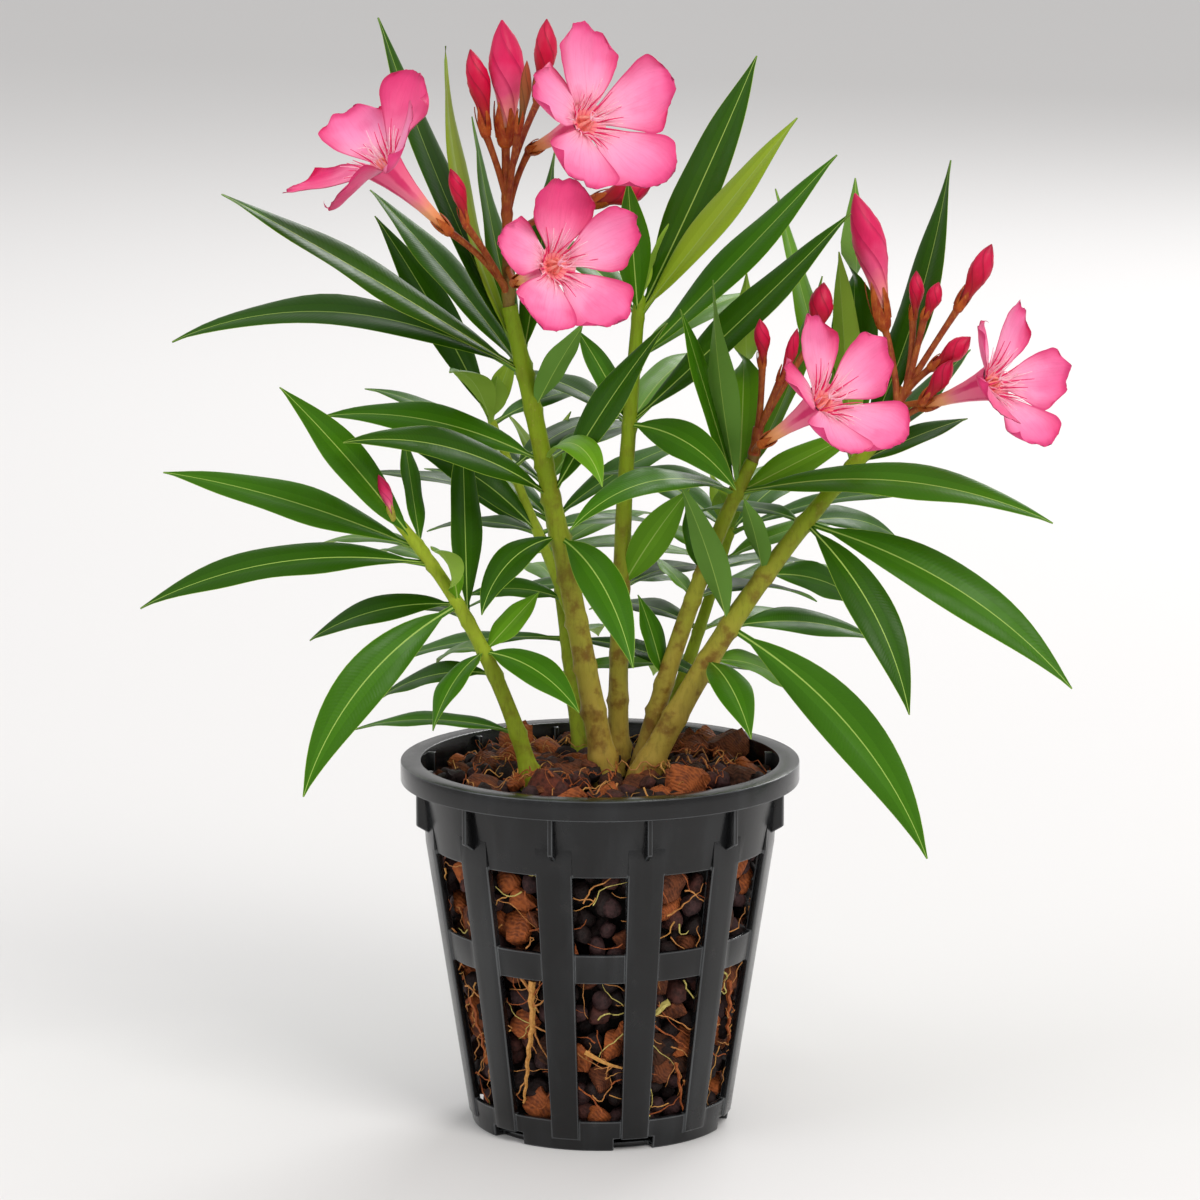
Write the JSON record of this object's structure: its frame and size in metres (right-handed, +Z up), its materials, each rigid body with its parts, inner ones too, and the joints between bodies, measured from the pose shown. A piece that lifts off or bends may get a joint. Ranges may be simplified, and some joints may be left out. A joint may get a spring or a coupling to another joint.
{
  "type": "potted oleander",
  "caption": "Young flowering oleander with upright shoots, whorled narrow leaves and open pink blossom, standing in a slotted round nursery pot of bark and stone.",
  "frame": {"origin": "centre of the pot's flat underside", "axes": "+Z up through the pot's axis to the top of the plant, +X to the right and -Y to the front, where most of the open flowers face"},
  "size_m": [0.2991, 0.1746, 0.3624],
  "materials": {
    "pot_plastic": "dark grey moulded plastic with a slight sheen",
    "potting_mix": "loose bark chips and rough lava stones, dull",
    "stem": "olive green young bark turning brown at the foot",
    "foliage": "leathery dark green leaves with a pale midrib",
    "blossom": "soft pink petals, red buds and red-brown stalks"
  },
  "bodies": {
    "root": {"pot": "pot_plastic", "potting_mix": "potting_mix", "tall_stem": "stem", "middle_stem": "stem", "inner_stem": "stem", "outer_stem": "stem", "low_stem": "stem", "back_stem": "stem", "rear_stem": "stem", "tall_lower_leaves": "foliage", "tall_upper_leaves": "foliage", "middle_lower_leaves": "foliage", "middle_upper_leaves": "foliage", "inner_lower_leaves": "foliage", "inner_upper_leaves": "foliage", "outer_lower_leaves": "foliage", "outer_middle_leaves": "foliage", "outer_upper_leaves": "foliage", "low_lower_leaves": "foliage", "low_middle_leaves": "foliage", "low_upper_leaves": "foliage", "side_leaves": "foliage", "back_lower_leaves": "foliage", "back_upper_leaves": "foliage", "rear_lower_leaves": "foliage", "rear_upper_leaves": "foliage", "tall_blossom": "blossom", "inner_blossom": "blossom", "outer_blossom": "blossom", "low_bud": "blossom"}
  },
  "joints": []
}
